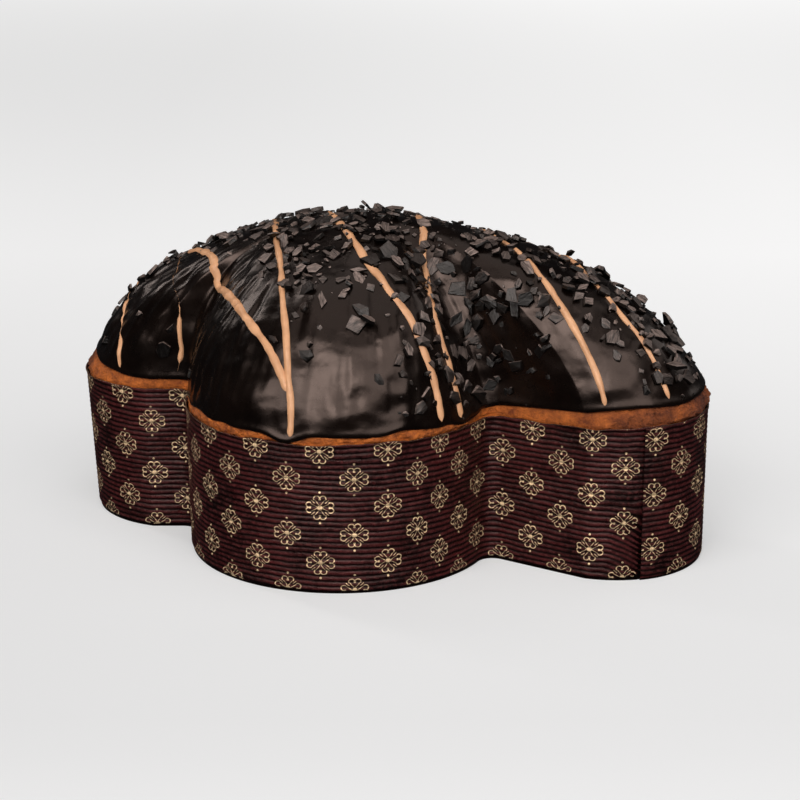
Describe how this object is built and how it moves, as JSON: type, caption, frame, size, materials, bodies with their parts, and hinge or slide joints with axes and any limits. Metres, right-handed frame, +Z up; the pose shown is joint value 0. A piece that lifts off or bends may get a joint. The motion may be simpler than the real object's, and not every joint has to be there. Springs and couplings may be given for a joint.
{
  "type": "colomba easter bread",
  "caption": "Dove-shaped Easter bread with a domed chocolate glaze, chocolate flakes and caramel drizzle, in its patterned paper baking mould",
  "frame": {"origin": "middle of the box round the object, on the surface it stands on", "axes": "+X along the bread from its head lobe to its tail lobe, +Z up"},
  "size_m": [0.3074, 0.2049, 0.1508],
  "materials": {
    "paper": "pleated maroon baking paper with small gold ornaments, satin",
    "crust": "baked crust, rough, orange brown",
    "chocolate": "dark chocolate glaze, glossy and wavy",
    "flakes": "dark chocolate flakes, satin",
    "drizzle": "caramel coloured icing, satin"
  },
  "bodies": {
    "root": {"paper_case": "paper", "bread": "crust", "glaze": "chocolate"}
  },
  "joints": []
}
